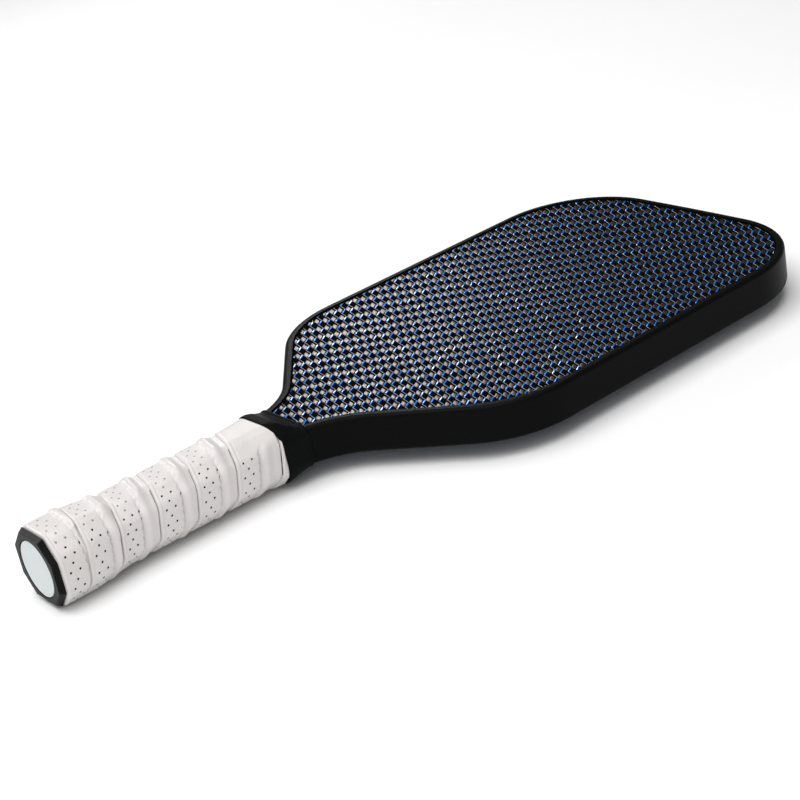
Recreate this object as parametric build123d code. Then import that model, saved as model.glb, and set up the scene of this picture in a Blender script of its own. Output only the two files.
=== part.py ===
from build123d import *

import math
import os

# Pickleball paddle: a honeycomb panel with woven faces, an edge guard and a wrapped octagonal handle.
# Millimetres. The origin is the centre of the butt's end face, on the handle's axis.
# +Y runs from the butt to the head, +X across the face, and +Z out of the front face.

# Overall
LENGTH = 419.1  # 16.5 in
GUARD_THICKNESS = 18.9  # over both lips of the edge guard

# Outline of the edge guard: neck, concave throat, shoulder, long side, top corner and crown
NECK_HALF_WIDTH = 15.1
THROAT_VERTEX = (NECK_HALF_WIDTH, 144.2)
THROAT_RADIUS = 45.5
SHOULDER_VERTEX = (89.9, 203.4)
SHOULDER_RADIUS = 55.5
SIDE_LEAN = 0.3  # degrees that the long sides open towards the head
CORNER_RADIUS = 54.8
CROWN_RADIUS = 2080.0

# Layers of the panel, from the middle outwards
CORE_THICKNESS = 16.0
FILM_THICKNESS = 0.10
BACKING_THICKNESS = 0.20
WOVEN_THICKNESS = 0.25
PANEL_THICKNESS = CORE_THICKNESS + 2 * (FILM_THICKNESS + BACKING_THICKNESS + WOVEN_THICKNESS)
CELL_PITCH = 8.0  # across the flats of one honeycomb cell, wall to wall
CELL_WALL = 0.4
CORE_RIM = 1.0  # solid edge left round the cells

# Edge guard
GUARD_WEB = 1.3
GUARD_LIP = 4.2  # how far each lip reaches over the face
GUARD_CORNER_RADIUS = 2.0
GUARD_TAPE = 0.3
GUARD_START = 121.0  # the guard's two ends, under the collar
PANEL_INSET = GUARD_WEB + GUARD_TAPE

# Handle
TONGUE_HALF_WIDTH = 9.0
HANDLE_START = 3.2  # inner face of the butt cap's end wall
PALLET_END = 120.5
PALLET_SECTION = (27.9, 26.5, 8.0, 8.0)  # width, thickness, corner cut along X, corner cut along Z
PALLET_BOND = 0.15
PALLET_SIDE_GAP = 0.15
POCKET_COUNT = 4
POCKET_SIZE = (11.0, 20.0, 2.9)
POCKET_PITCH = 23.0
POCKET_FIRST = 32.0

# Butt cap
CAP_FACE_SECTION = (31.4, 30.4, 7.6, 8.3)
CAP_RIM_SECTION = (34.0, 33.4, 7.9, 9.3)
CAP_RIM = 2.7  # depth of the flange
SKIRT_SECTION = (33.0, 31.6, 8.4, 8.4)
SKIRT_TIP_SECTION = (28.5, 27.1, 8.1, 8.1)
SKIRT_FULL = 19.0  # where the skirt starts to taper
SKIRT_END = 34.0
BADGE_RADII = (12.6, 13.3)
BADGE_THICKNESS = 0.5
BADGE_GLUE = 0.1
RECESS_GAP = 0.5
RECESS_DEPTH = 0.8

# Staples through the butt cap's skirt
STAPLE_CROWN = 9.0
STAPLE_WIRE = (1.2, 0.6)  # along Y, and thickness
STAPLE_LEG = 5.4
STAPLE_Y = 13.0
STAPLE_X = 0.0
STAPLE_ROW_PITCH = 7.0

# Grip
TAPE_THICKNESS = 0.1
SLEEVE_START = 3.0
SLEEVE_END = 120.0
SLEEVE_BUTT_SECTION = (36.6, 35.2, 9.4, 9.4)
SLEEVE_MID_SECTION = (32.4, 31.0, 8.3, 8.3)
SLEEVE_TOP_SECTION = (31.3, 29.9, 8.0, 8.0)
SLEEVE_TAPER_START = 20.0
SLEEVE_TAPER_END = 38.0
SLEEVE_NARROW_START = 108.0
SLEEVE_NARROW_END = 112.0
FINISHING_TAPE_START = 118.4
FINISHING_TAPE = 0.1

# Collar
COLLAR_START = 118.0
COLLAR_LEVEL = 120.8  # the collar stays on the grip up to here, then falls to the neck
COLLAR_END = 135.0
COLLAR_BEAD = 1.5
COLLAR_GRIP_INNER = (32.4, 31.0, 7.9, 7.9)
COLLAR_GRIP_OUTER = (34.0, 32.6, 8.2, 8.2)
COLLAR_NECK_INNER = (34.6, 19.2, 1.4, 1.4)
COLLAR_NECK_OUTER = (36.6, 21.2, 3.2, 3.2)
COLLAR_BEAD_OUTER = (37.4, 22.0, 3.6, 3.6)

FAR = 30.0  # overrun of cutting solids past what they cut


def octagon(section, y):
    """An octagonal face across the handle at y: section is width, thickness and the two corner cuts."""
    width, thickness, cut_x, cut_z = section
    half_w = width / 2
    half_t = thickness / 2
    quarter = [(half_w, half_t - cut_z), (half_w - cut_x, half_t)]
    corners = quarter + [(-x, z) for x, z in reversed(quarter)]
    corners = corners + [(-x, -z) for x, z in corners]
    return Face(Wire.make_polygon([Vector(x, y, z) for x, z in corners], close=True))


def prism(stations):
    """A solid through octagons at several (section, y) stations along the handle."""
    return Solid.make_loft([octagon(section, y).outer_wire() for section, y in stations], ruled=True)


def slab(face, bottom, top):
    """A flat XY face made into a plate between two heights."""
    return extrude(Pos(0, 0, bottom) * face, amount=top - bottom, dir=(0, 0, 1))


def direction(degrees):
    return Vector(math.cos(math.radians(degrees)), math.sin(math.radians(degrees)))


# Centres of the outline's arcs on the +X side. Every inset of the outline keeps these centres.
shoulder_slope = math.degrees(
    math.atan2(SHOULDER_VERTEX[1] - THROAT_VERTEX[1], SHOULDER_VERTEX[0] - THROAT_VERTEX[0])
)
side_slope = 90 - SIDE_LEAN
throat_tangent = THROAT_RADIUS * math.tan(math.radians(90 - shoulder_slope) / 2)
throat_centre = Vector(NECK_HALF_WIDTH + THROAT_RADIUS, THROAT_VERTEX[1] - throat_tangent)
shoulder_tangent = SHOULDER_RADIUS * math.tan(math.radians(side_slope - shoulder_slope) / 2)
shoulder_start = Vector(*SHOULDER_VERTEX) - direction(shoulder_slope) * shoulder_tangent
shoulder_centre = shoulder_start + direction(shoulder_slope + 90) * SHOULDER_RADIUS
crown_centre = Vector(0, LENGTH - CROWN_RADIUS)
# The corner's centre slides along a line one radius inside the side until it also touches the crown.
corner_base = Vector(*SHOULDER_VERTEX) + direction(side_slope + 90) * CORNER_RADIUS
base_offset = corner_base - crown_centre
along = base_offset.dot(direction(side_slope))
reach = (CROWN_RADIUS - CORNER_RADIUS) ** 2 - base_offset.length**2
corner_centre = corner_base + direction(side_slope) * (math.sqrt(along**2 + reach) - along)
crown_angle = math.degrees(
    math.atan2((corner_centre - crown_centre).Y, (corner_centre - crown_centre).X)
)


def half_outline(inset, start):
    """Edges of the +X half of the outline, moved inwards by inset, from the neck at y = start."""
    throat = THROAT_RADIUS + inset
    shoulder = SHOULDER_RADIUS - inset
    corner = CORNER_RADIUS - inset
    crown = CROWN_RADIUS - inset
    shoulder_normal = shoulder_slope - 90
    side_normal = side_slope - 90
    neck_end = throat_centre + direction(180) * throat
    throat_end = throat_centre + direction(shoulder_normal + 180) * throat
    shoulder_first = shoulder_centre + direction(shoulder_normal) * shoulder
    shoulder_last = shoulder_centre + direction(side_normal) * shoulder
    corner_first = corner_centre + direction(side_normal) * corner
    return [
        Line((neck_end.X, start), neck_end),
        CenterArc(throat_centre, throat, 180, shoulder_normal),
        Line(throat_end, shoulder_first),
        CenterArc(shoulder_centre, shoulder, shoulder_normal, side_normal - shoulder_normal),
        Line(shoulder_last, corner_first),
        CenterArc(corner_centre, corner, side_normal, crown_angle - side_normal),
        CenterArc(crown_centre, crown, crown_angle, 90 - crown_angle),
    ]


def head_wire(inset, start, foot=()):
    """The closed outline: foot holds the corners of the +X half between the axis and the neck."""
    half = half_outline(inset, start)
    neck = half[0] @ 0
    corners = [Vector(*point) for point in foot] + [neck]
    steps = [Line(a, b) for a, b in zip(corners, corners[1:])]
    right = steps + half
    left = [mirror(edge, about=Plane.YZ) for edge in right]
    base = Line((-corners[0].X, corners[0].Y), corners[0])
    return Wire.combine([base] + right + left)[0]


def head_face(inset, start):
    return Face(head_wire(inset, start))


def panel_wire():
    """The panel with its tongue, which runs down the middle of the handle."""
    foot = [(TONGUE_HALF_WIDTH, HANDLE_START), (TONGUE_HALF_WIDTH, GUARD_START)]
    return head_wire(PANEL_INSET, GUARD_START, foot)


def cell_centres(edge_face):
    """Centres of the honeycomb cells that fit whole inside edge_face."""
    row_step = CELL_PITCH * math.sqrt(3) / 2
    rows = int(LENGTH / row_step) + 1
    columns = int(SHOULDER_VERTEX[0] / CELL_PITCH) + 1
    corner_radius = CELL_PITCH / math.sqrt(3)
    centres = []
    for row in range(1, rows):
        shift = CELL_PITCH / 2 * (row % 2)
        for column in range(-columns, columns + 1):
            centre = Vector(column * CELL_PITCH + shift, row * row_step)
            corners = [centre + direction(90 + 60 * k) * corner_radius for k in range(6)]
            if all(edge_face.is_inside(point) for point in corners):
                centres.append(centre)
    return centres


def core_panel():
    """The polypropylene honeycomb, solid at its rim and open through its thickness."""
    outer = panel_wire()
    margin = PANEL_INSET + CORE_RIM
    foot_x = TONGUE_HALF_WIDTH - CORE_RIM
    foot = [(foot_x, HANDLE_START + CORE_RIM), (foot_x, GUARD_START + CORE_RIM)]
    edge_face = Face(head_wire(margin, GUARD_START + CORE_RIM, foot))
    opening = (CELL_PITCH - CELL_WALL) / math.sqrt(3)
    cells = []
    for centre in cell_centres(edge_face):
        corners = [centre + direction(90 + 60 * k) * opening for k in range(6)]
        cells.append(Face(Wire.make_polygon(corners, close=True)))
    return slab(Face(outer).cut(*cells), -CORE_THICKNESS / 2, CORE_THICKNESS / 2)


def layers():
    """The films and plies, each as a front and a back sheet over the whole panel and its tongue."""
    face = Face(panel_wire())
    sheets = {}
    inner = CORE_THICKNESS / 2
    stack = [
        ("adhesive_film", FILM_THICKNESS),
        ("backing_ply", BACKING_THICKNESS),
        ("woven_ply", WOVEN_THICKNESS),
    ]
    for name, thickness in stack:
        sheets["front_" + name] = slab(face, inner, inner + thickness)
        sheets["back_" + name] = slab(face, -inner - thickness, -inner)
        inner += thickness
    return sheets


def edge_guard():
    """A channel round the panel, from one side of the neck to the other, with rounded outer corners."""
    half = GUARD_THICKNESS / 2
    block = slab(head_face(0, GUARD_START), -half, half)
    rims = [
        edge
        for edge in block.edges()
        if abs(abs(edge.center().Z) - half) < 1e-3 and edge.center().Y > GUARD_START + 0.01
    ]
    block = fillet(rims, GUARD_CORNER_RADIUS)
    half_panel = PANEL_THICKNESS / 2
    below = GUARD_START - FAR
    channel = slab(head_face(GUARD_WEB, below), -half_panel, half_panel)
    window = slab(head_face(GUARD_LIP, below), -half - 1, half + 1)
    return block - channel - window


def edge_guard_tape():
    """The bonding tape between the panel's edge and the guard's web."""
    half = PANEL_THICKNESS / 2
    ring = slab(head_face(GUARD_WEB, GUARD_START), -half, half)
    return ring - slab(head_face(PANEL_INSET, GUARD_START - FAR), -half, half)


def staples():
    """Wide-crown staples, two through each broad side of the butt cap's skirt."""
    length, thickness = STAPLE_WIRE
    top = SKIRT_SECTION[1] / 2
    leg_x = (STAPLE_CROWN - length) / 2
    parts = []
    for side in (1, -1):
        for y in (STAPLE_Y - STAPLE_ROW_PITCH / 2, STAPLE_Y + STAPLE_ROW_PITCH / 2):
            crown = Pos(STAPLE_X, y, side * (top - thickness / 2)) * Box(STAPLE_CROWN, length, thickness)
            for x in (-leg_x, leg_x):
                height = STAPLE_LEG - thickness
                leg_z = side * (top - thickness - height / 2)
                crown = crown + Pos(STAPLE_X + x, y, leg_z) * Box(thickness, thickness, height)
            parts.append(crown.solid())
    return parts


def handle_pallet(side, staple_parts):
    """One moulded half of the handle, front for side 1 and back for side -1."""
    shell = prism([(PALLET_SECTION, HANDLE_START), (PALLET_SECTION, PALLET_END)])
    half_panel = PANEL_THICKNESS / 2 + PALLET_BOND
    length = PALLET_END - HANDLE_START
    middle = (PALLET_END + HANDLE_START) / 2
    slot = Pos(0, middle, 0) * Box(
        2 * (TONGUE_HALF_WIDTH + PALLET_SIDE_GAP), length + FAR, 2 * half_panel
    )
    other_half = Pos(0, middle, -side * FAR) * Box(4 * FAR, length + FAR, 2 * FAR)
    shell = shell - slot - other_half
    width, pocket_length, depth = POCKET_SIZE
    for index in range(POCKET_COUNT):
        y = POCKET_FIRST + pocket_length / 2 + index * POCKET_PITCH
        shell = shell - Pos(0, y, side * (half_panel + depth / 2)) * Box(width, pocket_length, depth)
    for staple in staple_parts:
        shell = shell - staple
    return shell


def pallet_bond(side):
    """The adhesive layer between the tongue's face and a handle pallet."""
    z = side * (PANEL_THICKNESS / 2 + PALLET_BOND / 2)
    length = PALLET_END - HANDLE_START
    middle = (PALLET_END + HANDLE_START) / 2
    return Pos(0, middle, z) * Box(2 * TONGUE_HALF_WIDTH, length, PALLET_BOND)


def ellipse_plate(radius_x, radius_z, depth_from, depth_to):
    """An elliptical plate across the handle's axis between two depths from the end face."""
    face = Plane.XZ * Ellipse(radius_x, radius_z).face()
    return extrude(Pos(0, depth_from, 0) * face, amount=depth_to - depth_from, dir=(0, 1, 0))


def butt_cap(staple_parts):
    """A flanged cap: a flared face outside, and a tapered skirt over the ends of the pallets."""
    flange = prism([(CAP_FACE_SECTION, 0), (CAP_RIM_SECTION, CAP_RIM)])
    skirt = prism([(SKIRT_SECTION, CAP_RIM), (SKIRT_SECTION, SKIRT_FULL), (SKIRT_TIP_SECTION, SKIRT_END)])
    pocket = prism([(PALLET_SECTION, HANDLE_START), (PALLET_SECTION, SKIRT_END + 1)])
    recess_x = BADGE_RADII[0] + RECESS_GAP
    recess_z = BADGE_RADII[1] + RECESS_GAP
    cap = flange + skirt - pocket - ellipse_plate(recess_x, recess_z, 0, RECESS_DEPTH)
    for staple in staple_parts:
        cap = cap - staple
    return cap


def grown(section, wall):
    """The section with wall added all round; the corner cuts grow so that the slant wall is equal."""
    extra = wall * (2 - math.sqrt(2))
    return (section[0] + 2 * wall, section[1] + 2 * wall, section[2] + extra, section[3] + extra)


def tape_stations(wall):
    """Octagons of the adhesive tape's inner or outer surface, from the butt cap to the pallets' end."""
    return [
        (grown(SKIRT_SECTION, wall), SLEEVE_START),
        (grown(SKIRT_SECTION, wall), SKIRT_FULL),
        (grown(SKIRT_TIP_SECTION, wall), SKIRT_END),
        (grown(PALLET_SECTION, wall), SKIRT_END + 2),
        (grown(PALLET_SECTION, wall), SLEEVE_END),
    ]


def grip_adhesive_tape():
    return prism(tape_stations(TAPE_THICKNESS)) - prism(tape_stations(0))


def grip_wrap():
    """The cushioned grip as a plain sleeve of its mean outer size."""
    outer = prism(
        [
            (SLEEVE_BUTT_SECTION, SLEEVE_START),
            (SLEEVE_BUTT_SECTION, SLEEVE_TAPER_START),
            (SLEEVE_MID_SECTION, SLEEVE_TAPER_END),
            (SLEEVE_MID_SECTION, SLEEVE_NARROW_START),
            (SLEEVE_TOP_SECTION, SLEEVE_NARROW_END),
            (SLEEVE_TOP_SECTION, SLEEVE_END),
        ]
    )
    return outer - prism(tape_stations(TAPE_THICKNESS))


def grip_finishing_tape():
    """A short band of tape over the end of the grip, under the collar."""
    ends = (FINISHING_TAPE_START, SLEEVE_END)
    outer = prism([(grown(SLEEVE_TOP_SECTION, FINISHING_TAPE), y) for y in ends])
    return outer - prism([(SLEEVE_TOP_SECTION, y) for y in ends])


def grip_collar():
    """A rubber sleeve that falls from the end of the grip to the neck and ends in a bead."""
    outer = prism(
        [
            (COLLAR_GRIP_OUTER, COLLAR_START),
            (COLLAR_GRIP_OUTER, COLLAR_LEVEL),
            (COLLAR_NECK_OUTER, COLLAR_END - COLLAR_BEAD),
            (COLLAR_NECK_OUTER, COLLAR_END),
        ]
    )
    bead = prism([(COLLAR_BEAD_OUTER, COLLAR_END - COLLAR_BEAD), (COLLAR_BEAD_OUTER, COLLAR_END)])
    inner = prism(
        [
            (COLLAR_GRIP_INNER, COLLAR_START),
            (COLLAR_GRIP_INNER, COLLAR_LEVEL),
            (COLLAR_NECK_INNER, COLLAR_END - COLLAR_BEAD),
            (COLLAR_NECK_INNER, COLLAR_END),
        ]
    )
    return outer + bead - inner


def build():
    """Every node of the paddle, by name."""
    staple_parts = staples()
    glue_start = RECESS_DEPTH - BADGE_GLUE
    nodes = {
        "core_panel": core_panel(),
        "edge_guard": edge_guard(),
        "edge_guard_tape": edge_guard_tape(),
        "handle_pallet_front": handle_pallet(1, staple_parts),
        "handle_pallet_back": handle_pallet(-1, staple_parts),
        "pallet_bond_front": pallet_bond(1),
        "pallet_bond_back": pallet_bond(-1),
        "butt_cap": butt_cap(staple_parts),
        "butt_cap_staples": Compound(staple_parts),
        "badge_adhesive": ellipse_plate(*BADGE_RADII, glue_start, RECESS_DEPTH),
        "butt_badge": ellipse_plate(*BADGE_RADII, glue_start - BADGE_THICKNESS, glue_start),
        "grip_adhesive_tape": grip_adhesive_tape(),
        "grip_wrap": grip_wrap(),
        "grip_finishing_tape": grip_finishing_tape(),
        "grip_collar": grip_collar(),
    }
    nodes.update(layers())
    return nodes


os.makedirs("parts", exist_ok=True)
for node, shape in build().items():
    export_step(shape, f"parts/{node}.step")
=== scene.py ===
import math

import bpy
import numpy as np
from mathutils import Euler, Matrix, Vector


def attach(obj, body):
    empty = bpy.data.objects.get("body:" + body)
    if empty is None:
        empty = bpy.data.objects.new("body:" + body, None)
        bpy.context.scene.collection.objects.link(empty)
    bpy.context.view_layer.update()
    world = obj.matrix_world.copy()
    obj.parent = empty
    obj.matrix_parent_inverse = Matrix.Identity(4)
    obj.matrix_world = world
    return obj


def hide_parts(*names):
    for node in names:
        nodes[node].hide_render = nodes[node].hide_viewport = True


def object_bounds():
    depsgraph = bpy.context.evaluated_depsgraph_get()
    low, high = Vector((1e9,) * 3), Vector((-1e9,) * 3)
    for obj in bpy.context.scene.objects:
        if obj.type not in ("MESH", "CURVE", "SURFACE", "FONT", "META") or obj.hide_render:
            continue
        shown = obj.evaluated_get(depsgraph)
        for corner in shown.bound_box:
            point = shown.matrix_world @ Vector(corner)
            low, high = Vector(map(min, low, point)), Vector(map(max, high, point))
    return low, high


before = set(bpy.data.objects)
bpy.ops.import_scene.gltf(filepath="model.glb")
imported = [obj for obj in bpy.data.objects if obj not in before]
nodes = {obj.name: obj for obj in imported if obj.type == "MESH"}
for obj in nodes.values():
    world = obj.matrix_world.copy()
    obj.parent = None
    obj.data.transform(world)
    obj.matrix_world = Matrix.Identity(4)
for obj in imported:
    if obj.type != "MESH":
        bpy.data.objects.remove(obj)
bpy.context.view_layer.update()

# The looks of the paddle. The CAD pieces keep their own meshes and get a material each. Woven yarns are
# laid on both faces, and a wound strip and a rubber sleeve are drawn in place of the grip and its collar.

MM = 0.001

# ---------------------------------------------------------------- head outline, in millimetres

THROAT_CENTRE = (60.6, 122.2)
THROAT_RADIUS = 45.5
SHOULDER_CENTRE = (34.55, 230.4)
SHOULDER_RADIUS = 55.5
CORNER_CENTRE = (36.0, 364.0)
CORNER_RADIUS = 54.8
CROWN_CENTRE = (0.0, -1660.9)
CROWN_RADIUS = 2080.0
SHOULDER_SLOPE = math.radians(38.36)
SIDE_LEAN = math.radians(0.3)
CROWN_JOIN = math.radians(88.98)
ARC_POINTS = (60, 60, 90, 40)
TINY = 1e-9  # keeps a division by an edge without length or rise from failing

# ---------------------------------------------------------------- woven face, in millimetres

FACE_TOP = 8.55
WEAVE_START = 133.6
WEAVE_INSET = 5.0
# The weave fans out a little from the right of the face to its left: each place (x, y) is a ratio of
# straight runs in the counts of repeats (i, j). The coefficients were fitted to where the repeats appear
# in the photograph.
WEAVE_X = (6.499, 2.646, 7.767)
WEAVE_Y = (282.698, 3.441, -3.917)
WEAVE_FAN = (1.0, 0.00146, 0.00739)
YARN_U = (WEAVE_X[1] + WEAVE_X[2], WEAVE_Y[1] + WEAVE_Y[2])
YARN_V = (WEAVE_X[1] - WEAVE_X[2], WEAVE_Y[1] - WEAVE_Y[2])
YARN_STEP = 5.3  # about the length of one half-step of the weave
REPEATS_I = 60  # counts of repeats tried each way from the middle of the face
REPEATS_J = 34
TRIED_HALF_WIDTH = 105.0  # repeats centred outside these bounds can't reach the face
TRIED_START = 115.0
TRIED_END = 435.0
FLOAT_ROOT = -0.02  # a float's edge dips just under the face
FLOAT_EDGE = 0.999  # beyond this share of its half-size a vertex is on a float's edge
CROWN_FLATNESS = 0.55  # below 1 it crowds a float's vertices towards its edge
SIDE_DROP = 0.25  # share of the crown's height that is lost at a float's sides and ends
SIDE_POWER = 2.2
END_DROP = 0.45
END_POWER = 3
CROWN_SPREAD = 0.1  # how much the crowns differ in height at random

# ---------------------------------------------------------------- wrapped grip, in millimetres

GRIP_START = 3.0
# Stations of the collar's mouth by height, on the near (+X) side and on the far side of the handle.
MOUTH_HEIGHTS = (-16.0, -8.0, 0.0, 8.0, 12.0, 16.0)
MOUTH_NEAR = (122.5, 122.2, 122.0, 121.3, 120.7, 118.1)
MOUTH_FAR = (124.2, 122.6, 121.0, 119.4, 118.6, 117.8)
GRIP_STATIONS = (3.0, 4.2, 20.0, 38.0, 108.0, 121.0)
GRIP_WIDTHS = (35.6, 36.9, 36.9, 32.6, 32.6, 33.2)
GRIP_THICKS = (34.0, 35.3, 35.3, 31.2, 31.2, 31.8)
GRIP_CUTS = (9.0, 9.4, 9.4, 8.4, 8.2, 7.2)
# The wrap is counted in turns, and the strip's own edge is at these stations along it.
WRAP_START = -0.5
WRAP_END = 6.6
EDGE_TURNS = (-1.0, 0.66, 1.18, 1.42, 2.18, 2.42, 3.18, 3.42, 4.18, 4.42, 5.18, 5.42, 6.18, 6.42)
EDGE_PLACES = (3.1, 3.1, 15.2, 18.0, 32.2, 36.2, 52.1, 56.3, 72.3, 76.8, 93.8, 98.4, 118.6, 122.5)

rng = np.random.default_rng(7)


def outline_half(inset):
    """The right half of the head's edge from the neck to the crown, moved in by inset."""
    arcs = (
        (THROAT_CENTRE, THROAT_RADIUS + inset, math.pi, math.pi / 2 + SHOULDER_SLOPE),
        (SHOULDER_CENTRE, SHOULDER_RADIUS - inset, SHOULDER_SLOPE - math.pi / 2, -SIDE_LEAN),
        (CORNER_CENTRE, CORNER_RADIUS - inset, -SIDE_LEAN, CROWN_JOIN),
        (CROWN_CENTRE, CROWN_RADIUS - inset, CROWN_JOIN, math.pi / 2),
    )
    runs = []
    for (centre, radius, start, end), count in zip(arcs, ARC_POINTS):
        a = np.linspace(start, end, count)
        runs.append(np.c_[centre[0] + radius * np.cos(a), centre[1] + radius * np.sin(a)])
    return np.vstack(runs)


def window():
    """The closed edge of the face inside the guard's lip, anticlockwise, cut off under the collar."""
    half = outline_half(WEAVE_INSET)
    neck = half[0, 0]
    half = np.vstack([[0.0, WEAVE_START], [neck, WEAVE_START], half[half[:, 1] > WEAVE_START]])
    left = half[1:-1][::-1] * (-1, 1)
    return np.vstack([half, left])


def inside(points, ring):
    """True for each point inside the closed ring."""
    a = ring
    b = np.roll(ring, -1, axis=0)
    x, y = points[:, :1], points[:, 1:]
    crosses = (a[:, 1] > y) != (b[:, 1] > y)
    rise = np.where(b[:, 1] == a[:, 1], TINY, b[:, 1] - a[:, 1])
    at = a[:, 0] + (y - a[:, 1]) * (b[:, 0] - a[:, 0]) / rise
    return (crosses & (x < at)).sum(1) % 2 == 1


def pulled_in(points, ring):
    """The nearest place on the closed ring to each point."""
    a = ring
    ab = np.roll(ring, -1, axis=0) - ring
    t = ((points[:, None] - a) * ab).sum(2) / np.maximum((ab ** 2).sum(1), TINY)
    near = a + np.clip(t, 0, 1)[..., None] * ab
    gap = ((points[:, None] - near) ** 2).sum(2)
    return near[np.arange(len(points)), gap.argmin(1)]


def mesh_piece(name, verts_mm, quads, indices, materials):
    """A smooth mesh object from vertices in millimetres, quads and one material index per quad."""
    mesh = bpy.data.meshes.new(name)
    mesh.from_pydata((np.asarray(verts_mm) * MM).tolist(), [], [tuple(q) for q in quads])
    for m in materials:
        mesh.materials.append(m)
    mesh.polygons.foreach_set("material_index", np.asarray(indices, dtype=np.int32))
    mesh.polygons.foreach_set("use_smooth", np.full(len(quads), True))
    mesh.update()
    piece = bpy.data.objects.new(name, mesh)
    bpy.context.scene.collection.objects.link(piece)
    return piece


# ---------------------------------------------------------------- materials

GRAIN_DETAIL = 3.0
GRAIN_LOW = 0.3
GRAIN_HIGH = 0.7
BUMP_STRENGTH = 0.6


def surface(name, colour, rough, metallic=0.0, spread=0.12, grain=900.0, relief=0.00002,
            specular=0.5, coat=0.0, coat_rough=0.1, stretch=(1.0, 1.0, 1.0), turn=0.0):
    """A procedural material: a slightly uneven colour with a fine grain in relief."""
    m = bpy.data.materials.new(name)
    m.use_nodes = True
    m.diffuse_color = (*colour, 1.0)
    tree = m.node_tree
    shader = tree.nodes["Principled BSDF"]
    shader.inputs["Base Color"].default_value = (*colour, 1.0)
    shader.inputs["Roughness"].default_value = rough
    shader.inputs["Metallic"].default_value = metallic
    shader.inputs["Specular IOR Level"].default_value = specular
    shader.inputs["Coat Weight"].default_value = coat
    shader.inputs["Coat Roughness"].default_value = coat_rough
    place = tree.nodes.new("ShaderNodeTexCoord")
    mapping = tree.nodes.new("ShaderNodeMapping")
    mapping.inputs["Rotation"].default_value = (0.0, 0.0, turn)
    mapping.inputs["Scale"].default_value = stretch
    tree.links.new(place.outputs["Object"], mapping.inputs["Vector"])
    noise = tree.nodes.new("ShaderNodeTexNoise")
    noise.inputs["Scale"].default_value = grain
    noise.inputs["Detail"].default_value = GRAIN_DETAIL
    tree.links.new(mapping.outputs["Vector"], noise.inputs["Vector"])
    ramp = tree.nodes.new("ShaderNodeValToRGB")
    ramp.color_ramp.elements[0].position = GRAIN_LOW
    ramp.color_ramp.elements[1].position = GRAIN_HIGH
    ramp.color_ramp.elements[0].color = (*[c * (1 - spread) for c in colour], 1.0)
    ramp.color_ramp.elements[1].color = (*[min(1.0, c * (1 + spread)) for c in colour], 1.0)
    tree.links.new(noise.outputs["Fac"], ramp.inputs["Fac"])
    tree.links.new(ramp.outputs["Color"], shader.inputs["Base Color"])
    bump = tree.nodes.new("ShaderNodeBump")
    bump.inputs["Strength"].default_value = BUMP_STRENGTH
    bump.inputs["Distance"].default_value = relief
    tree.links.new(noise.outputs["Fac"], bump.inputs["Height"])
    tree.links.new(bump.outputs["Normal"], shader.inputs["Normal"])
    return m


# The grain of a yarn is turned and drawn out along it.
TURN_U = -math.atan2(YARN_U[1], YARN_U[0])
TURN_V = -math.atan2(YARN_V[1], YARN_V[0])
ALONG = (0.12, 1.0, 1.0)

guard_black = surface("guard_black_satin", (0.0032, 0.0034, 0.0033), 0.40, grain=1500.0, specular=0.035)
cap_black = surface("cap_black_plastic", (0.0045, 0.0047, 0.0042), 0.36, grain=1500.0, specular=0.07)
badge_pale = surface("badge_pale_vinyl", (0.66, 0.70, 0.71), 0.45, spread=0.02, grain=1200.0, relief=0.000005)
rubber_black = surface("collar_black_rubber", (0.0040, 0.0044, 0.0046), 0.46, grain=700.0, relief=0.00010,
                       specular=0.03)
grip_white = surface("grip_white_cushion", (0.66, 0.63, 0.62), 0.32, spread=0.02, grain=900.0, relief=0.00002)
# Painted shade for the gaps between turns of the wrap.
grip_gap_shade = surface("grip_gap_painted_shade", (0.16, 0.16, 0.17), 0.8, spread=0.1, grain=1500.0, specular=0.1)
# Painted shade for the inside of the perforations.
grip_hole_shade = surface("grip_hole_painted_shade", (0.012, 0.010, 0.010), 0.9, spread=0.2, grain=1500.0, specular=0.1)
# Lighter painted shade for the perforations on the front and back of the handle, where more light falls.
grip_lit_hole_shade = surface("grip_lit_hole_painted_shade", (0.30, 0.285, 0.28), 0.8, spread=0.05, grain=1500.0, specular=0.1)
resin_black = surface("face_resin_black", (0.0015, 0.0018, 0.0026), 0.5, grain=1200.0, specular=0.0)
yarn_light = surface("yarn_silver_grey", (0.081, 0.069, 0.065), 0.29, metallic=1.0, spread=0.2, grain=2600.0,
                     relief=0.00003, stretch=ALONG, turn=TURN_U)
yarn_black = surface("yarn_carbon_black", (0.0030, 0.0036, 0.0052), 0.5, spread=0.4, grain=2600.0,
                     relief=0.00003, specular=0.0, stretch=ALONG, turn=TURN_V)
yarn_blue = surface("foil_strip_blue", (0.0002, 0.195, 0.72), 0.40, metallic=0.6, spread=0.15, grain=2200.0,
                    relief=0.000004, specular=0.1, coat=1.0, coat_rough=0.04, stretch=ALONG, turn=TURN_V)
thread_grey = surface("thread_beige_grey", (0.21, 0.195, 0.185), 0.45, spread=0.2, grain=2600.0,
                      relief=0.00003, stretch=ALONG, turn=TURN_U)
core_white = surface("core_white_polypropylene", (0.80, 0.81, 0.80), 0.5, spread=0.03, grain=600.0)
film_amber = surface("film_clear_amber", (0.72, 0.68, 0.55), 0.3, grain=700.0)
ply_black = surface("ply_carbon_laminate", (0.030, 0.030, 0.035), 0.45, grain=1600.0)
foam_grey = surface("tape_foam_grey", (0.35, 0.35, 0.36), 0.8, grain=1200.0)
pallet_black = surface("pallet_moulded_black", (0.050, 0.050, 0.055), 0.55, grain=900.0)
glue_clear = surface("bond_clear_glue", (0.60, 0.55, 0.40), 0.25, grain=500.0)
staple_steel = surface("staple_bright_steel", (0.60, 0.60, 0.60), 0.30, metallic=1.0, grain=1800.0)
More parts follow.
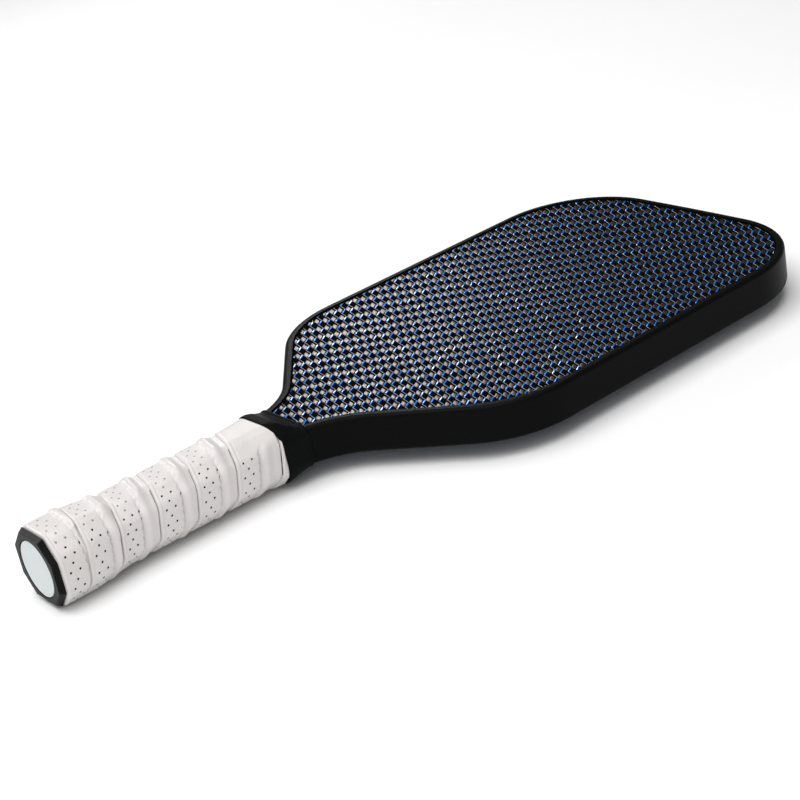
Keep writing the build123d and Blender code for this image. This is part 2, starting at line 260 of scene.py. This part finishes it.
tape_black = surface("tape_black_vinyl", (0.020, 0.020, 0.020), 0.45, grain=900.0)
tape_white = surface("tape_white_film", (0.75, 0.75, 0.74), 0.45, grain=900.0)

NODE_MATERIALS = {
    "core_panel": core_white,
    "front_adhesive_film": film_amber,
    "back_adhesive_film": film_amber,
    "front_backing_ply": ply_black,
    "back_backing_ply": ply_black,
    "front_woven_ply": resin_black,
    "back_woven_ply": resin_black,
    "edge_guard": guard_black,
    "edge_guard_tape": foam_grey,
    "handle_pallet_front": pallet_black,
    "handle_pallet_back": pallet_black,
    "pallet_bond_front": glue_clear,
    "pallet_bond_back": glue_clear,
    "butt_cap": cap_black,
    "butt_cap_staples": staple_steel,
    "badge_adhesive": glue_clear,
    "butt_badge": badge_pale,
    "grip_adhesive_tape": tape_white,
    "grip_wrap": grip_white,
    "grip_finishing_tape": tape_black,
    "grip_collar": rubber_black,
}
for name, node in nodes.items():
    node.data.materials.clear()
    node.data.materials.append(NODE_MATERIALS[name])

# ---------------------------------------------------------------- woven faces

# One repeat of the weave, in half-steps along the two yarn directions: centre, half-sizes,
# corner rounding, crown height, which way the yarn runs, quads each way and material.
FLOATS = (
    ((0.0, 0.0), (0.39, 0.39), 0.10, 0.07, "u", (5, 5), 0),
    ((1.16, 0.20), (0.43, 0.41), 0.12, 0.06, "v", (3, 3), 1),
    ((0.60, 0.215), (0.125, 0.52), 0.30, 0.16, "v", (6, 6), 2),
    ((1.05, -0.33), (0.58, 0.050), 0.10, 0.12, "u", (6, 3), 3),
)
FOIL = 2  # material index of the blue foil, whose dashes are each tilted a little at random
FOIL_ROLL = 0.11
FOIL_PITCH = 0.05


def flattened(count):
    """Places from -1 to 1 that crowd towards the ends, so that a float has a flat crown."""
    s = np.linspace(-1, 1, count + 1)
    return np.sign(s) * np.abs(s) ** CROWN_FLATNESS


def weave_place(i, j):
    """Where a count of repeats falls on the face."""
    ratio = WEAVE_FAN[0] + WEAVE_FAN[1] * i + WEAVE_FAN[2] * j
    x = WEAVE_X[0] + WEAVE_X[1] * i + WEAVE_X[2] * j
    y = WEAVE_Y[0] + WEAVE_Y[1] * i + WEAVE_Y[2] * j
    return np.stack([x / ratio, y / ratio], -1)


def woven_face(name, side):
    """The yarn floats of one face, each one a low dome that dips at its ends, cut to the guard's window."""
    ring = window()
    counts_i = np.arange(-REPEATS_I, REPEATS_I + 1)
    counts_j = np.arange(-REPEATS_J, REPEATS_J + 1)
    i, j = [n.reshape(-1, 1) for n in np.meshgrid(counts_i, counts_j, indexing="ij")]
    x, y = weave_place(i, j)[:, 0].T
    keep = (np.abs(x) < TRIED_HALF_WIDTH) & (y > TRIED_START) & (y < TRIED_END)
    i, j = i[keep], j[keep]
    verts, quads, indices = [], [], []
    base = 0
    for (ca, cb), (ha, hb), rounding, crown, runs, (na, nb), index in FLOATS:
        s, t = np.meshgrid(flattened(na), flattened(nb), indexing="ij")
        a = (ca + ha * s * np.sqrt(1 - rounding * t ** 2 / 2)).reshape(-1)
        b = (cb + hb * t * np.sqrt(1 - rounding * s ** 2 / 2)).reshape(-1)
        along, across = (s, t) if runs == "u" else (t, s)
        z = crown * (1 - SIDE_DROP * np.abs(across) ** SIDE_POWER)
        z = z * (1 - END_DROP * np.abs(along) ** END_POWER)
        rim = (np.abs(s) > FLOAT_EDGE) | (np.abs(t) > FLOAT_EDGE)
        z[rim] = FLOAT_ROOT
        grid = np.arange((na + 1) * (nb + 1)).reshape(na + 1, nb + 1)
        cell = np.stack([grid[:-1, :-1], grid[1:, :-1], grid[1:, 1:], grid[:-1, 1:]], -1).reshape(-1, 4)
        points = weave_place(i + (a + b) / 2, j + (a - b) / 2)
        within = inside(points.reshape(-1, 2), ring).reshape(len(points), -1)
        used = within.any(1)
        points, within = points[used], within[used]
        cut = np.where(~within)
        points[cut] = pulled_in(points[cut], ring)
        lift = z.reshape(-1) * rng.uniform(1 - CROWN_SPREAD, 1 + CROWN_SPREAD, (len(points), 1))
        if index == FOIL:
            held = (~rim).reshape(-1)
            roll = FOIL_ROLL * rng.uniform(-1, 1, (len(points), 1)) * YARN_STEP * ha
            pitch = FOIL_PITCH * rng.uniform(-1, 1, (len(points), 1)) * YARN_STEP * hb
            lift = lift + held * (roll * across.reshape(-1) + pitch * along.reshape(-1))
        for k in range(len(points)):
            shown = cell[within[k][cell].any(1)]
            quads.append(shown + base)
            indices.append(np.full(len(shown), index))
            verts.append(np.c_[points[k], FACE_TOP + lift[k]])
            base += len(points[k])
    verts = np.vstack(verts)
    quads = np.vstack(quads)
    if side < 0:
        verts = verts * (-1, 1, -1)
    piece = mesh_piece(name, verts, quads, np.concatenate(indices),
                       [yarn_light, yarn_black, yarn_blue, thread_grey])
    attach(piece, "root")


woven_face("front_yarns", 1)
woven_face("back_yarns", -1)

# ---------------------------------------------------------------- handle sections

GRIP_MEAN_SECTION = (33.0, 31.6, 8.6, 8.6)
SECTION_SOFT = 0.026  # how far a corner is rounded, as a share of the perimeter
SOFT_SAMPLES = 9
STATION_SOFT = 1.0  # and how far along the handle
STATION_SAMPLES = 7
TANGENT_STEP = 0.004


def corners(width, thick, cut_x, cut_z):
    """A bevelled section's eight corners between two stops at the middle of its back, by way of +X."""
    w, t = width / 2, thick / 2
    zero = np.zeros_like(w)
    return np.stack([
        np.stack([zero, -t], -1),
        np.stack([w - cut_x, -t], -1),
        np.stack([w, -t + cut_z], -1),
        np.stack([w, t - cut_z], -1),
        np.stack([w - cut_x, t], -1),
        np.stack([-w + cut_x, t], -1),
        np.stack([-w, t - cut_z], -1),
        np.stack([-w, -t + cut_z], -1),
        np.stack([-w + cut_x, -t], -1),
        np.stack([zero, -t], -1),
    ], -2)


def section_knots(width, thick, cut_x, cut_z):
    """Where each corner falls along the perimeter of a section, from 0 to 1, and that perimeter."""
    c = corners(*[np.array([v], float) for v in (width, thick, cut_x, cut_z)])[0]
    run = np.r_[0, np.cumsum(np.linalg.norm(np.diff(c, axis=0), axis=1))]
    return run / run[-1], run[-1]


GRIP_KNOTS, GRIP_GIRTH = section_knots(*GRIP_MEAN_SECTION)


def on_section(p, sizes, knots, soften):
    """Places (x, z) at perimeter fractions p of sections with these sizes, with corners softened."""
    c = corners(*sizes)
    total = np.zeros(p.shape + (2,))
    for o in np.linspace(-soften, soften, SOFT_SAMPLES):
        q = (p + o) % 1.0
        k = np.clip(np.searchsorted(knots, q, side="right") - 1, 0, len(knots) - 2)
        f = (q - knots[k]) / (knots[k + 1] - knots[k])
        lo = np.take_along_axis(c, k[..., None, None], -2)[..., 0, :]
        hi = np.take_along_axis(c, (k + 1)[..., None, None], -2)[..., 0, :]
        total += lo + (hi - lo) * f[..., None]
    return total / SOFT_SAMPLES


def smooth_table(x, xs, ys):
    """A smooth curve through the stations, rounded a little at each."""
    total = 0.0
    for o in np.linspace(-STATION_SOFT, STATION_SOFT, STATION_SAMPLES):
        total = total + np.interp(x + o, xs, ys)
    return total / STATION_SAMPLES


def grip_surface(p, y, lift):
    """Places on the grip at perimeter fraction p and station y, raised by lift."""
    cut = smooth_table(y, GRIP_STATIONS, GRIP_CUTS)
    sizes = (np.interp(y, GRIP_STATIONS, GRIP_WIDTHS), np.interp(y, GRIP_STATIONS, GRIP_THICKS), cut, cut)
    xz = on_section(p, sizes, GRIP_KNOTS, SECTION_SOFT)
    ahead = on_section(p + TANGENT_STEP, sizes, GRIP_KNOTS, SECTION_SOFT)
    behind = on_section(p - TANGENT_STEP, sizes, GRIP_KNOTS, SECTION_SOFT)
    tangent = ahead - behind
    tangent /= np.linalg.norm(tangent, axis=-1, keepdims=True)
    normal = np.stack([tangent[..., 1], -tangent[..., 0]], -1)
    xz = xz + normal * lift[..., None]
    return np.stack([xz[..., 0], y, xz[..., 1]], -1)


# ---------------------------------------------------------------- wrapped cushion grip

# Height across the strip, from its own edge towards the head, in millimetres: a rounded rib stands up
# beyond the slits on the front and back of the handle and sinks into a valley at its sides.
STRIP_V = (0.00, 0.05, 0.35, 0.80, 1.50, 1.80, 2.00, 2.20, 2.60, 5.70, 9.50, 11.2,
           11.8, 12.1, 12.5, 13.0, 13.7, 14.6, 15.4, 16.2, 17.0, 17.5, 18.5, 19.5)
RIB_H = (-1.2, -0.55, -0.02, 0.12, 0.08, 0.00, -0.16, 0.00, 0.03, 0.12, 0.10, 0.05,
         0.00, -0.10, 0.35, 0.75, 1.05, 1.15, 1.05, 0.75, 0.35, 0.05, -0.30, -0.60)
VALLEY_H = (-1.2, -0.55, -0.02, 0.12, 0.08, 0.00, -0.16, 0.00, 0.03, 0.12, 0.10, 0.02,
            -0.20, -0.85, -1.35, -1.40, -1.05, -0.45, -0.05, 0.05, 0.00, -0.20, -0.35, -0.55)
RIB_TURN = (0.00, 0.08, 0.17, 0.31, 0.42, 0.58, 0.69, 0.81, 0.92, 1.00)
RIB_SHARE = (0.70, 0.65, 0.10, 0.05, 1.00, 1.00, 0.25, 0.10, 0.65, 0.70)
RIB_FADE = 0.12  # turns over which the ribs fade out before RIBS_END
RIB_RISE_START = -0.1  # and turn from which they rise at the butt
RIB_RISE = 0.4
RIB_RISE_LEAST = 0.1
RIBS_END = 5.40
HOLES_END = 5.345
SLITS_END = 5.32
CALM_TURNS = 0.04  # past the slits' end the strip beyond its embossed line turns smooth
CALM_HEIGHT = 0.05
LINE_END = 2.6
SCALLOP = 0.5  # how far the rib's foot swings to and fro beside the slits
SCALLOP_CENTRE = 12.0
SCALLOP_REACH = 1.6
TUCK_DEPTH = -1.2  # the strip dives under the next turn's edge
TUCK_REACH = 0.9
TUCK_SLOPE = 0.9
HOLE_COLUMNS = (3.4, 5.7, 8.0)
OFFSET_COLUMN = 1  # the column whose holes stand half a pitch along
HOLE_PITCH = 6.9
HOLE_RADIUS = 0.52
HOLE_DEPTH = 0.75
HOLE_CLEAR = 1.8  # least distance from a hole to the next turn's edge
SLIT_COLUMN = 12.15
SLIT_PITCH = 3.7
SLIT_SHAPE = (1.25, 0.8)  # a slit's size along and across the strip against a hole's
SLIT_RIB = 0.5  # a rib taller than this share hides the slits
FACE_RIB = 0.6  # and one taller than this share marks the front and back, where the holes get a lighter painted shade
GAP_TURNS = (0.25, 0.32, 0.42)  # the wedge of painted shade between the first two turns: start, widening, end
GAP_SHADE_SPAN = (0.09, 0.41)  # share of each half turn whose gap gets painted shade
GAP_SHADE_CLEAR = 1.0  # no gap gets painted shade before the strip has left the butt by this much
MOUTH_OVERLAP = 1.0  # how far the wrap runs on under the collar
LEAST_LENGTH = 1e-4  # quads shorter than this along the handle are left out
STRIP_WIDTH = 20.0
FLAT_SHARE = 0.7  # share of the strip's width that keeps its size where the rest is squeezed
SQUEEZE = 0.86  # keeps every place across the strip short of the next turn's edge
STEPS_PER_TURN = 232
STRIP_BANDS = (
    (0.0, 0.8, 5),
    (0.8, 2.8, 8),
    (2.8, 11.2, 24),
    (11.2, 14.0, 9),
    (14.0, 19.0, 12),
    (19.0, STRIP_WIDTH, 4),
)
SCALE_TURNS = (0.0, 1.2, 1.8, 2.4, 3.0, 3.6, 5.5)
SCALES = (1.0, 1.0, 0.89, 0.92, 1.03, 0.99, 1.03)
EDGE_SOFT = 0.12  # turns over which a change in the edge's climb is rounded
MOUTH_BLEND = 8.0  # half the width over which the mouth's two slants are blended
CUSHION, PAINTED_HOLE_SHADE, PAINTED_GAP_SHADE, PAINTED_LIT_HOLE_SHADE = range(4)  # material indices of the wrap: the cushion, painted shade in the holes, painted shade in the gaps between turns and lighter painted shade in the holes on the front and back


def strip_scale(turn):
    """How far the strip is stretched across its width along the wrap."""
    return np.interp(turn, SCALE_TURNS, SCALES)


def edge_place(turn):
    """Station of the strip's edge at each turn of the wrap."""
    total = 0.0
    for o in np.linspace(-EDGE_SOFT, EDGE_SOFT, SOFT_SAMPLES):
        total = total + np.interp(turn + o, EDGE_TURNS, EDGE_PLACES)
    return total / SOFT_SAMPLES


def mouth_place(x, z):
    """Station of the collar's mouth: each side of the handle has its own slant, blended over the middle."""
    near = np.clip((x + MOUTH_BLEND) / (2 * MOUTH_BLEND), 0, 1)
    near_station = np.interp(z, MOUTH_HEIGHTS, MOUTH_NEAR)
    far_station = np.interp(z, MOUTH_HEIGHTS, MOUTH_FAR)
    return near * near_station + (1 - near) * far_station


def rib_share(p):
    """How far the strip stands up as a rib at perimeter fraction p, from 0 for a valley to 1."""
    return np.interp(p, RIB_TURN, RIB_SHARE)


def strip_lift(turn, nominal, left):
    """Height of the strip by turn, place across it and distance left to the next turn's edge."""
    fade = np.clip((RIBS_END - turn) / RIB_FADE, 0, 1)
    fade = fade * np.clip((turn - RIB_RISE_START) / RIB_RISE, RIB_RISE_LEAST, 1)
    share = rib_share(turn % 1.0) * fade
    near_slits = np.clip(1 - np.abs(nominal - SCALLOP_CENTRE) / SCALLOP_REACH, 0, 1)
    nominal = nominal + SCALLOP * near_slits * np.cos(2 * np.pi * turn * GRIP_GIRTH / SLIT_PITCH)
    lift = share * np.interp(nominal, STRIP_V, RIB_H) + (1 - share) * np.interp(nominal, STRIP_V, VALLEY_H)
    calm = np.clip((turn - SLITS_END) / CALM_TURNS, 0, 1)
    lift = np.where(nominal > LINE_END, lift * (1 - calm) + CALM_HEIGHT * calm, lift)
    tuck = TUCK_DEPTH + np.clip(left, 0, TUCK_REACH) * TUCK_SLOPE
    return np.where(left < TUCK_REACH, np.minimum(lift, tuck), lift)


def cushion_grip():
    """The strip wound round the handle as one ribbon: each turn ends under the edge of the next."""
    across = np.unique(np.concatenate([np.linspace(*band) for band in STRIP_BANDS])) / STRIP_WIDTH
    first = int(WRAP_START * STEPS_PER_TURN)
    last = int(WRAP_END * STEPS_PER_TURN)
    turns = np.arange(first, last + 1) / STEPS_PER_TURN
    turn, v = np.meshgrid(turns, across, indexing="ij")
    start = edge_place(turn)
    width = edge_place(turn + 1.0) - start
    scale = strip_scale(turn)
    flat = FLAT_SHARE * STRIP_WIDTH * scale
    squeezed = flat + (v - FLAT_SHARE) / (1 - FLAT_SHARE) * (width - flat)
    place = np.where(v > FLAT_SHARE, squeezed, v * STRIP_WIDTH * scale)
    place = np.minimum(place, width * (SQUEEZE + (1 - SQUEEZE) * v))
    lift = strip_lift(turn, place / scale, width - place)
    p = turn % 1.0
    y = start + place

    # The gaps between turns on the sides of the handle and the wedge between the first two turns get painted
    # shade.
    material = np.full((len(turns) - 1, len(across) - 1), CUSHION)
    beside = p[:-1, 0] % 0.5
    gap_shade = (start[:-1, 0] > GRIP_START + GAP_SHADE_CLEAR) & (beside > GAP_SHADE_SPAN[0]) & (beside < GAP_SHADE_SPAN[1])
    gap_start, gap_wide, gap_end = GAP_TURNS
    material[gap_shade, -1] = PAINTED_GAP_SHADE
    material[(turns[:-1] > gap_start) & (turns[:-1] < gap_end), -2:] = PAINTED_GAP_SHADE
    material[(turns[:-1] > gap_wide) & (turns[:-1] < gap_end), -3:] = PAINTED_GAP_SHADE

    # Perforations: the nine vertices nearest to each are drawn in to its outline and the middle one is sunk.
    along = turns * GRIP_GIRTH
    step = GRIP_GIRTH / STEPS_PER_TURN
    shift_p = np.zeros_like(p)
    shift_y = np.zeros_like(y)
    for column, v_mm in enumerate(HOLE_COLUMNS + (SLIT_COLUMN,)):
        slit = column == len(HOLE_COLUMNS)
        pitch = SLIT_PITCH if slit else HOLE_PITCH
        long, wide = SLIT_SHAPE if slit else (1.0, 1.0)
        end = SLITS_END if slit else HOLES_END
        phase = pitch / 2 if column == OFFSET_COLUMN else 0.0
        for k in range(1, int((along[-1] - along[0]) / pitch)):
            where = along[0] + k * pitch + phase
            i = int(round((where - along[0]) / step))
            if i < 2 or i > len(turns) - 3 or turns[i] > end:
                continue
            rib = rib_share(p[i, 0])
            target = v_mm * scale[i, 0]
            if (slit and rib > SLIT_RIB) or target > width[i, 0] - HOLE_CLEAR:
                continue
            j = int(np.abs(place[i] - target).argmin())
            for di in (-1, 0, 1):
                for dj in (-1, 0, 1):
                    size = HOLE_RADIUS / max(1.0, math.hypot(di, dj))
                    goal_s = where + di * size * long
                    goal_y = target + dj * size * wide
                    shift_p[i + di, j + dj] = (goal_s - along[i + di]) / GRIP_GIRTH
                    shift_y[i + di, j + dj] = goal_y - place[i + di, j + dj]
            lift[i, j] -= HOLE_DEPTH
            # Painted shade in each hole, lighter where the rib marks the front and back of the handle.
            material[i - 1:i + 1, j - 1:j + 1] = PAINTED_LIT_HOLE_SHADE if rib > FACE_RIB else PAINTED_HOLE_SHADE

    y = np.maximum(y + shift_y, GRIP_START)
    verts = grip_surface((p + shift_p) % 1.0, y, lift)
    y = np.minimum(y, mouth_place(verts[..., 0], verts[..., 2]) + MOUTH_OVERLAP)
    verts[..., 1] = y
    grid = np.arange(turn.size).reshape(turn.shape)
    quads = np.stack([grid[:-1, :-1], grid[1:, :-1], grid[1:, 1:], grid[:-1, 1:]], -1).reshape(-1, 4)
    quad_y = y.reshape(-1)[quads]
    tall = (quad_y.max(1) - quad_y.min(1)) > LEAST_LENGTH
    piece = mesh_piece("cushion_grip_wrap", verts.reshape(-1, 3), quads[tall], material.reshape(-1)[tall],
                       [grip_white, grip_hole_shade, grip_gap_shade, grip_lit_hole_shade])
    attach(piece, "root")
    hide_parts("grip_wrap")


cushion_grip()

# ---------------------------------------------------------------- rubber collar

COLLAR_START = 118.0
COLLAR_END = 135.5
COLLAR_ROWS = 60
COLLAR_AROUND = 320
COLLAR_MEAN_SECTION = (35.0, 28.0, 6.5, 6.5)
COLLAR_SOFT = 0.028
COLLAR_Y = (COLLAR_START, 118.15, 118.6, 119.6, 121.0, 124.0, 128.0, 131.5, 132.9, 133.3, 133.6, 134.3, 135.0,
            135.4, COLLAR_END)
COLLAR_W = (32.6, 33.4, 34.1, 34.3, 34.4, 34.9, 35.9, 36.5, 36.6, 36.7, 37.3, 37.5, 37.3, 36.2, 34.8)
COLLAR_T = (31.2, 32.0, 32.7, 32.8, 32.6, 30.6, 25.8, 22.2, 21.4, 21.3, 21.9, 22.1, 21.9, 20.8, 19.4)
COLLAR_CX = (7.1, 7.3, 7.4, 7.4, 7.3, 6.8, 5.2, 3.6, 3.3, 3.3, 3.5, 3.6, 3.6, 3.0, 1.6)


def collar():
    """The rubber sleeve over the end of the grip and the neck, thin at its mouth, beaded at the head."""
    rows = np.unique(np.concatenate([np.linspace(COLLAR_START, COLLAR_END, COLLAR_ROWS), COLLAR_Y]))
    y, p = np.meshgrid(rows, np.arange(COLLAR_AROUND) / COLLAR_AROUND, indexing="ij")
    sizes = [np.interp(y, COLLAR_Y, t) for t in (COLLAR_W, COLLAR_T, COLLAR_CX, COLLAR_CX)]
    knots = section_knots(*COLLAR_MEAN_SECTION)[0]
    xz = on_section(p, sizes, knots, COLLAR_SOFT)
    mouth = mouth_place(xz[:1, :, 0], xz[:1, :, 1])
    y = mouth + (y - COLLAR_START) / (COLLAR_END - COLLAR_START) * (COLLAR_END - mouth)
    verts = np.stack([xz[..., 0], y, xz[..., 1]], -1).reshape(-1, 3)
    grid = np.arange(y.size).reshape(y.shape)
    ahead = np.roll(grid, -1, axis=1)
    quads = np.stack([grid[:-1], ahead[:-1], ahead[1:], grid[1:]], -1).reshape(-1, 4)
    piece = mesh_piece("collar_sleeve", verts, quads, np.zeros(len(quads), int), [rubber_black])
    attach(piece, "root")
    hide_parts("grip_collar")


collar()

# ---------------------------------------------------------------- floor, lights and camera

FLOOR_HALF = 6.0
FLOOR_GAP = 0.0002
WORLD_STRENGTH = 0.12
AIM = (0.0, 0.18, 0.0)

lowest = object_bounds()[0].z
floor_material = surface("floor_pale", (0.90, 0.90, 0.90), 0.9, spread=0.01, grain=3.0, relief=0.0,
                         specular=0.0)
floor_mesh = bpy.data.meshes.new("floor")
floor_corners = [(x * FLOOR_HALF, y * FLOOR_HALF, 0) for x, y in ((-1, -1), (1, -1), (1, 1), (-1, 1))]
floor_mesh.from_pydata(floor_corners, [], [(0, 1, 2, 3)])
floor_mesh.materials.append(floor_material)
floor = bpy.data.objects.new("floor", floor_mesh)
floor.location = (0.0, 0.0, lowest - FLOOR_GAP)
bpy.context.scene.collection.objects.link(floor)

world = bpy.data.worlds.new("studio")
world.use_nodes = True
world.node_tree.nodes["Background"].inputs["Color"].default_value = (1.0, 1.0, 1.0, 1.0)
world.node_tree.nodes["Background"].inputs["Strength"].default_value = WORLD_STRENGTH
bpy.context.scene.world = world


def softbox(name, direction, distance, size, power):
    """An area light that far from the aim point in that direction, facing it."""
    lamp = bpy.data.lights.new(name, "AREA")
    lamp.shape = "RECTANGLE"
    lamp.size, lamp.size_y = size
    lamp.energy = power
    box = bpy.data.objects.new(name, lamp)
    d = np.array(direction) / np.linalg.norm(direction)
    at = np.array(AIM) + d * distance
    box.location = at.tolist()
    box.rotation_euler = Vector((-d).tolist()).to_track_quat("-Z", "Y").to_euler()
    bpy.context.scene.collection.objects.link(box)


softbox("key_softbox", (-0.755, 0.509, 0.413), 1.65, (0.26, 0.22), 2.5)
softbox("top_softbox", (0.05, -0.2, 1.0), 1.8, (2.0, 2.0), 43.0)
softbox("left_softbox", (-0.83, -0.28, 0.48), 1.65, (0.7, 0.4), 6.0)
softbox("fill_softbox", (0.8, -0.6, 0.5), 2.0, (1.6, 1.6), 9.5)

camera_data = bpy.data.cameras.new("camera")
camera_data.lens = 78.778
camera_data.sensor_width = 36.0
camera = bpy.data.objects.new("camera", camera_data)
camera.location = (0.62572, -0.24324, 0.35097)
camera.rotation_euler = Euler([math.radians(a) for a in (64.3557, 10.1592, 49.7607)], "XYZ")
bpy.context.scene.collection.objects.link(camera)
bpy.context.scene.camera = camera
bpy.context.scene.view_settings.view_transform = "Standard"
